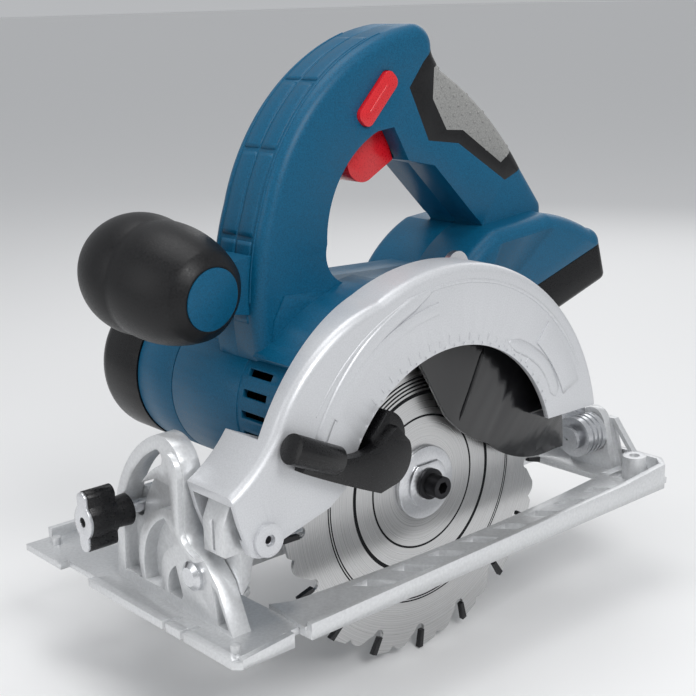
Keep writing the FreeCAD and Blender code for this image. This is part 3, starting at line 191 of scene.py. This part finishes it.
def blade_material():
    """Steel brushed in circles, with printed rings all round and finer ones on the upper part."""
    surface = Surface("blade_steel", (0.62, 0.63, 0.65), 0.33, 1.0)
    split = surface.nodes.new("ShaderNodeSeparateXYZ")
    surface.links.new(surface.coords, split.inputs[0])
    dx = surface.math("SUBTRACT", split.outputs["X"], ARBOR[0] * MM)
    dz = surface.math("SUBTRACT", split.outputs["Z"], ARBOR[1] * MM)
    squares = surface.math("ADD", surface.math("MULTIPLY", dx, dx), surface.math("MULTIPLY", dz, dz))
    radius = surface.math("SQRT", squares)
    brush = surface.nodes.new("ShaderNodeTexNoise")
    brush.noise_dimensions = "1D"
    brush.inputs["Scale"].default_value = 2600.0
    brush.inputs["Detail"].default_value = 3.0
    surface.links.new(radius, brush.inputs["W"])
    streaks = brush.outputs["Fac"]
    whole = printed_rings(surface, radius, ((31.2, 0.5), (42.2, 0.9), (56.2, 0.35), (57.4, 0.35)))
    upper = surface.math("GREATER_THAN", dz, 26 * MM)
    fine = printed_rings(surface, radius, [(middle, 0.45) for middle in (44.6, 46.4, 48.2, 50.0)])
    printed = surface.math("MAXIMUM", whole, surface.math("MULTIPLY", fine, upper))
    ink, ink_roughness = (0.02, 0.02, 0.022), (0.55, 0.55, 0.55)
    bare_color = surface.grey_ramp(streaks, 0.3, 0.7, 0.47, 0.66)
    bare_roughness = surface.grey_ramp(streaks, 0.3, 0.7, 0.26, 0.42)
    surface.color(surface.mix(printed, bare_color, ink))
    surface.roughness(surface.mix(printed, bare_roughness, ink_roughness))
    return surface.relief(streaks, 0.12)


BLUE = plastic("blue_plastic", (0.0006, 0.062, 0.13), (0.0015, 0.108, 0.215), 0.40).gloss(0.3)
BLACK = plastic("black_plastic", (0.002, 0.002, 0.0025), (0.007, 0.007, 0.008), 0.30, 1400.0, 0.12)
BLACK.gloss(0.35)
RUBBER = plastic("black_rubber", (0.003, 0.003, 0.0035), (0.009, 0.009, 0.01), 0.42, 1100.0, 0.2)
RUBBER.gloss(0.3)
PAD = plastic("grey_rubber", (0.20, 0.20, 0.195), (0.31, 0.31, 0.30), 0.62, 1300.0, 0.3)
RED = plastic("red_plastic", (0.56, 0.004, 0.01), (0.70, 0.008, 0.016), 0.30, 1500.0, 0.12).coat(0.3, 0.2)
GUARD = metal("painted_guard", (0.66, 0.67, 0.69), 0.38, 1500.0, 0.3, 0.35)
CAST = metal("cast_shoe", (0.74, 0.75, 0.76), 0.36, 700.0, 0.3, 0.6)
CASE = metal("cast_case", (0.50, 0.51, 0.52), 0.45, 600.0, 0.4, 0.8)
STEEL = metal("steel", (0.74, 0.75, 0.77), 0.26, 1200.0, 0.1, 1.0)
DARK_STEEL = metal("black_steel", (0.035, 0.035, 0.038), 0.36, 1200.0, 0.15, 0.9)
GLOSS_BLACK = metal("black_guard", (0.006, 0.006, 0.007), 0.20, 1300.0, 0.04, 0.0).coat(0.35, 0.08)
CARBIDE = metal("carbide", (0.05, 0.05, 0.052), 0.35, 1500.0, 0.2, 0.9)
BRASS = metal("brass", (0.72, 0.50, 0.20), 0.3, 1200.0, 0.1, 1.0)
BLADE = blade_material()
SLOTS = {surface.slot: surface.material for surface in
         (BLUE, BLACK, RUBBER, PAD, RED, GUARD, CAST, CASE, STEEL, DARK_STEEL, GLOSS_BLACK, CARBIDE,
          BRASS, BLADE)}


def dress_nodes():
    """Give every CAD node the material that its record slot names."""
    for entry in frame["record"]["subparts"]:
        node = NODES[entry["node"]]
        material = SLOTS[entry["material_slot"]]
        node.data.materials.clear()
        node.data.materials.append(material)


def soften(node_name, width):
    """Break the sharp edges of a CAD node with a small bevel."""
    node = NODES[node_name]
    weld = node.modifiers.new("weld", "WELD")
    weld.merge_threshold = 0.00001
    bevel = node.modifiers.new("bevel", "BEVEL")
    bevel.width = width * MM
    bevel.segments = 2
    bevel.limit_method = "ANGLE"
    bevel.angle_limit = math.radians(EDGE_ANGLE)
    bevel.harden_normals = True
    for polygon in node.data.polygons:
        polygon.use_smooth = True


# ---- mesh helpers ----------------------------------------------------------------------------
def from_bmesh(name, shape, surface, body):
    """Turn a bmesh into a smooth-shaded piece that moves with a body."""
    bmesh.ops.recalc_face_normals(shape, faces=shape.faces)
    mesh = bpy.data.meshes.new(name)
    shape.to_mesh(mesh)
    shape.free()
    piece = bpy.data.objects.new(name, mesh)
    bpy.context.scene.collection.objects.link(piece)
    mesh.materials.append(surface.material)
    for polygon in mesh.polygons:
        polygon.use_smooth = True
    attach(piece, body)


def bar(name, sections, surface, body):
    """Closed bar through a row of equal rings of points, with flat ends."""
    shape = bmesh.new()
    rings = [[shape.verts.new(point) for point in section] for section in sections]
    count = len(rings[0])
    for here, after in zip(rings, rings[1:]):
        for index in range(count):
            other = (index + 1) % count
            shape.faces.new((here[index], here[other], after[other], after[index]))
    shape.faces.new(rings[0])
    shape.faces.new(list(reversed(rings[-1])))
    from_bmesh(name, shape, surface, body)


def through(points, per_span=8):
    """Smooth open curve through (a, b) points."""
    ends = [points[0]] + list(points) + [points[-1]]
    out = []
    for p0, p1, p2, p3 in zip(ends, ends[1:], ends[2:], ends[3:]):
        for step in range(per_span):
            t = step / per_span
            out.append(tuple(0.5 * (2 * b + (c - a) * t + (2 * a - 5 * b + 4 * c - d) * t * t
                                    + (3 * b - a - 3 * c + d) * t ** 3)
                             for a, b, c, d in zip(p0, p1, p2, p3)))
    out.append(tuple(points[-1]))
    return out


def flat_ridge(name, points, half_width, lift, face_y, surface, body):
    """Low rounded ridge on a face of constant y, along (x, z) points, tapering at both ends."""
    sunk, shoulder, crown = 0.4, 0.25 * lift, 0.55
    profile = ((-1, -sunk), (-1, shoulder), (-crown, lift), (crown, lift), (1, shoulder), (1, -sunk))
    curve = through(points)
    last = len(curve) - 1
    sections = []
    for index, (x, z) in enumerate(curve):
        before, after = curve[max(index - 1, 0)], curve[min(index + 1, last)]
        along = Vector((after[0] - before[0], 0, after[1] - before[1])).normalized()
        side = Vector((-along.z, 0, along.x))
        t = index / last
        taper = min(1.0, 0.25 + 6 * min(t, 1 - t))
        centre = Vector((x, face_y, z))
        section = []
        for a, b in profile:
            height = b if b < 0 else b * taper
            offset = side * (a * half_width * taper) + Vector((0, height, 0))
            section.append((centre + offset) * MM)
        sections.append(section)
    bar(name, sections, surface, body)


def arc_through(start, middle, end, count):
    """Points on the circle through three (x, z) points, with the outward normal at each."""
    (ax, az), (bx, bz), (cx, cz) = start, middle, end
    d = 2 * (ax * (bz - cz) + bx * (cz - az) + cx * (az - bz))
    ux = ((ax * ax + az * az) * (bz - cz) + (bx * bx + bz * bz) * (cz - az)
          + (cx * cx + cz * cz) * (az - bz)) / d
    uz = ((ax * ax + az * az) * (cx - bx) + (bx * bx + bz * bz) * (ax - cx)
          + (cx * cx + cz * cz) * (bx - ax)) / d
    first = math.atan2(az - uz, ax - ux)
    last = math.atan2(cz - uz, cx - ux)
    if last < first:
        last += 2 * math.pi
    radius = math.hypot(ax - ux, az - uz)
    places = []
    for index in range(count + 1):
        angle = first + (last - first) * index / count
        normal = (math.cos(angle), math.sin(angle))
        places.append(((ux + radius * normal[0], uz + radius * normal[1]), normal))
    return places


# ---- details on the handle -------------------------------------------------------------------
# The handle's front outline as two arcs: start, middle and end of each, (x, z) in millimetres.
HANDLE_ARCS = (((64, 78), (70, 122), (62, 160)), ((62, 160), (34, 206), (-27, 234)))


def handle_front():
    """Points and normals up the front and over the top of the handle."""
    lower = arc_through(*HANDLE_ARCS[0], 40)
    upper = arc_through(*HANDLE_ARCS[1], 60)
    return lower[:-1] + upper


def along_handle(name, start, stop, y, section):
    """Bar on the handle's front from one step of its line to another, at a given y.

    The section is in millimetres, sideways and outwards.
    """
    sections = []
    for (x, z), (nx, nz) in handle_front()[start:stop + 1]:
        point, out = Vector((x, y, z)) * MM, Vector((nx, 0, nz))
        sections.append([point + Y_AXIS * (a * MM) + out * (b * MM) for a, b in section])
    bar(name, sections, BLUE, "saw")


def handle_panels():
    """Stepped raised panels that follow the handle's front, split by the seam."""
    spans = ((16, 33, 0.3), (34, 52, 0.45), (53, 70, 0.6), (71, 88, 0.45))    # start, stop, lift
    inset, gap, sunk, slope = 7.2, 0.5, 0.6, 1.2
    half = (HANDLE_HALF - inset - gap) / 2
    for side_index, side in enumerate((1, -1)):
        middle = SEAM_Y + side * (gap + half)
        for number, (start, stop, lift) in enumerate(spans):
            section = [(-half, -sunk), (-half, 0.2 * lift), (slope - half, lift), (half - slope, lift),
                       (half, 0.2 * lift), (half, -sunk)]
            along_handle(f"handle_panel_{side_index}_{number}", start, stop, middle, section)


def handle_edge_lines():
    """Thin raised line along the crease between the handle's front and each side."""
    inset = 5.6
    section = [(-0.45, -0.8), (-0.45, 0.1), (0.0, 0.4), (0.45, 0.1), (0.45, -0.8)]
    for number, side in enumerate((1, -1)):
        y = SEAM_Y + side * (HANDLE_HALF - inset)
        along_handle(f"handle_edge_line_{number}", 20, 91, y, section)


def pad_dimples():
    """Small round studs on both faces of the grip pad."""
    pad = NODES["grip_pad"]
    shape = bmesh.new()
    spacing, radius, steps = 5.6, 0.85, 18
    corner_x, corner_z = -110, 160
    facing = 0.55                     # least sideways part of the pad's normal under a stud
    for direction in (-1, 1):
        for row in range(steps):
            for column in range(steps):
                x = corner_x + column * spacing + (row % 2) * spacing / 2
                z = corner_z + row * spacing * 0.8
                start = Vector((x, -60 * direction + SEAM_Y, z)) * MM
                hit, place, normal, _ = pad.ray_cast(start, Y_AXIS * direction)
                if not hit or abs(normal.y) < facing:
                    continue
                turn = Vector((0, 0, 1)).rotation_difference(normal).to_matrix().to_4x4()
                flattened = Matrix.Translation(place) @ turn @ Matrix.Diagonal((1, 1, 0.5, 1))
                bmesh.ops.create_uvsphere(shape, u_segments=10, v_segments=6, radius=radius * MM,
                                          matrix=flattened)
    from_bmesh("pad_dimples", shape, PAD, "saw")


def lock_off_ridge():
    """Raised line along the lock-off bar."""
    low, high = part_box("lock_off_button")
    top = high.y / MM
    middle = (low + high) / 2 / MM
    reach = 9.0
    slope = math.radians(LOCK_OFF_SLOPE)
    points = [(middle.x + along * math.cos(slope), middle.z - along * math.sin(slope))
              for along in (-reach, 0, reach)]
    flat_ridge("lock_off_ridge", points, 0.7, 0.5, top - 0.1, RED, "lock_off_body")


# ---- details on the guards -------------------------------------------------------------------
def guard_ridges():
    """Long raised ridges on the upper guard's face."""
    lift = 0.65
    front = [(18, 126), (38, 118), (56, 107), (70, 93), (79.5, 79), (83, 71)]
    rear = [(-31, 94), (-45, 87), (-55.5, 78.5), (-61.5, 69), (-64, 61.5)]
    flat_ridge("guard_ridge_front", front, 3.6, lift, GUARD_FACE, GUARD, "saw")
    flat_ridge("guard_ridge_rear", rear, 3.2, lift, GUARD_FACE, GUARD, "saw")


def about_arbor(radius, degrees):
    """Point (x, z) at a radius and an angle about the blade's centre."""
    turn = math.radians(degrees)
    return (ARBOR[0] + radius * math.cos(turn), ARBOR[1] + radius * math.sin(turn))


def guard_band():
    """Low raised edge along the guard's rim, where its face turns into the outer band."""
    line = [about_arbor(95.5, degrees) for degrees in range(34, 158, 6)]
    flat_ridge("guard_band", line, 0.9, 0.35, GUARD_FACE, GUARD, "saw")


def window_ticks():
    """Short raised scale marks round the upper half of the blade window."""
    start = 69.0
    for number, degrees in enumerate(range(48, 134, 5)):
        reach = 4.2 if number % 2 == 0 else 3.0
        ends = [about_arbor(radius, degrees) for radius in (start, start + reach / 2, start + reach)]
        flat_ridge(f"window_tick_{number}", ends, 0.35, 0.3, GUARD_FACE, GUARD, "saw")


def lobe_line():
    """Raised line across the lower guard's rear lobe."""
    line = [(-26.5, 90), (-18.5, 74), (-10.5, 59)]
    flat_ridge("lobe_line", line, 0.8, 0.8, LOBE_FACE, GLOSS_BLACK, "swinging_guard")


# ---- stage -----------------------------------------------------------------------------------
def camera():
    """Camera at the object's three-quarter view from the front of the blade side."""
    target = Vector((47.592, 45.0, 102.767)) * MM
    distance = 558.184 * MM
    azimuth, elevation, roll = (math.radians(v) for v in (138.676, 14.833, -1.508))
    back = Vector((math.sin(azimuth) * math.cos(elevation), -math.cos(azimuth) * math.cos(elevation),
                   math.sin(elevation)))
    right = Vector((0, 0, 1)).cross(back).normalized()
    up = back.cross(right)
    rolled_right = math.cos(roll) * right + math.sin(roll) * up
    rolled_up = -math.sin(roll) * right + math.cos(roll) * up
    data = bpy.data.cameras.new("camera")
    data.sensor_width = 36.0
    data.lens = 68.14
    data.clip_start = 0.01
    eye = bpy.data.objects.new("camera", data)
    bpy.context.scene.collection.objects.link(eye)
    position = target + back * distance
    columns = (rolled_right, rolled_up, back, position)
    rows = [[column[row] for column in columns] for row in range(3)]
    eye.matrix_world = Matrix(rows + [[0, 0, 0, 1]])
    bpy.context.scene.camera = eye


def lamp(name, place, size, power):
    """Soft rectangular light that faces the middle of the object."""
    aim = (0.0, 0.0, 0.09)
    data = bpy.data.lights.new(name, "AREA")
    data.shape = "RECTANGLE"
    data.size, data.size_y = size
    data.energy = power
    light = bpy.data.objects.new(name, data)
    bpy.context.scene.collection.objects.link(light)
    light.location = place
    light.rotation_mode = "QUATERNION"
    light.rotation_quaternion = (Vector(aim) - Vector(place)).to_track_quat("-Z", "Y")


def studio():
    """Pale floor, pale surroundings and four lamps."""
    floor_gap = 0.0005
    floor_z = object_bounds()[0].z - floor_gap
    shape = bmesh.new()
    bmesh.ops.create_grid(shape, x_segments=1, y_segments=1, size=40.0,
                          matrix=Matrix.Translation((0, 0, floor_z)))
    mesh = bpy.data.meshes.new("floor")
    shape.to_mesh(mesh)
    shape.free()
    pale = Surface("floor", (0.86, 0.86, 0.86), 0.7)
    pale.gloss(0.2)
    mesh.materials.append(pale.material)
    floor = bpy.data.objects.new("floor", mesh)
    bpy.context.scene.collection.objects.link(floor)
    floor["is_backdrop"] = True
    world = bpy.data.worlds.new("studio")
    world.use_nodes = True
    background = world.node_tree.nodes["Background"]
    background.inputs["Color"].default_value = (0.95, 0.97, 1.0, 1)
    background.inputs["Strength"].default_value = 0.5
    bpy.context.scene.world = world
    lamp("key", (0.25, 0.95, 0.85), (0.5, 0.4), 6.5)
    lamp("top", (0.05, -0.1, 1.1), (0.7, 0.7), 4.0)
    lamp("side", (1.1, -0.2, 0.45), (0.5, 0.8), 1.8)
    lamp("back", (-0.9, -0.5, 0.6), (0.7, 0.7), 1.8)
    bpy.context.scene.view_settings.view_transform = "Standard"


# Width of the broken edges on each node, in millimetres.
EDGE_WIDTHS = {
    "trigger": 1.2, "lock_off_button": 0.8, "wing_knob": 0.7, "knob_disc": 0.3, "guard_lever": 1.4,
    "lower_guard": 0.4, "outer_flange": 0.3, "blade_bolt": 0.3, "base_plate": 0.4, "upper_guard": 0.5,
    "motor_cap": 0.5, "motor_housing": 0.4, "motor_collar": 0.4, "housing_left": 0.4,
    "housing_right": 0.4, "grip_overmold": 0.4, "grip_pad": 0.5, "battery_pack": 0.5,
    "tilt_bracket": 0.4, "aux_cap": 0.5, "aux_handle": 0.5}


def main():
    dress_nodes()
    for name, width in EDGE_WIDTHS.items():
        soften(name, width)
    handle_panels()
    handle_edge_lines()
    pad_dimples()
    lock_off_ridge()
    guard_ridges()
    guard_band()
    window_ticks()
    lobe_line()
    camera()
    studio()


main()
